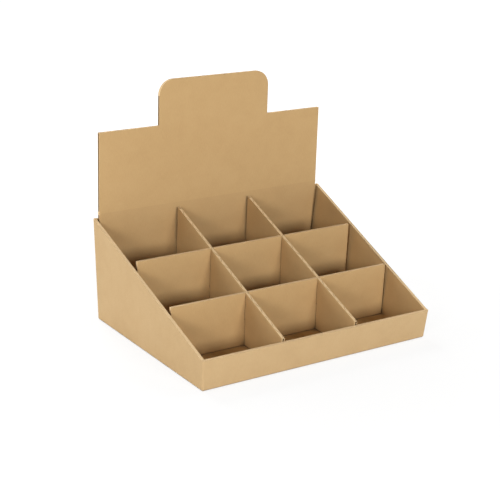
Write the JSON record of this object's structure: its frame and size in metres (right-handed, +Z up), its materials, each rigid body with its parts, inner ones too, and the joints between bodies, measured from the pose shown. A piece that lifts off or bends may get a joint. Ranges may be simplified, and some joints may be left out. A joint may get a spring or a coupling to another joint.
{
  "type": "cardboard display stand",
  "caption": "Counter display folded from plain brown corrugated board: a tray with sloped sides, a header with a raised tab, and a slotted divider insert that parts the tray into cells.",
  "frame": {"origin": "middle of the tray's footprint at the table", "axes": "+Z up, the low front wall faces -Y, the header stands at +Y, +X to the right of a person in front of it"},
  "size_m": [0.2524, 0.1842, 0.22],
  "materials": {
    "tray_board": "matte brown kraft liner",
    "divider_board": "matte brown kraft liner"
  },
  "bodies": {
    "root": {"tray": "tray_board", "long_divider_left": "divider_board", "long_divider_right": "divider_board", "cross_divider_front": "divider_board", "cross_divider_rear": "divider_board"}
  },
  "joints": []
}
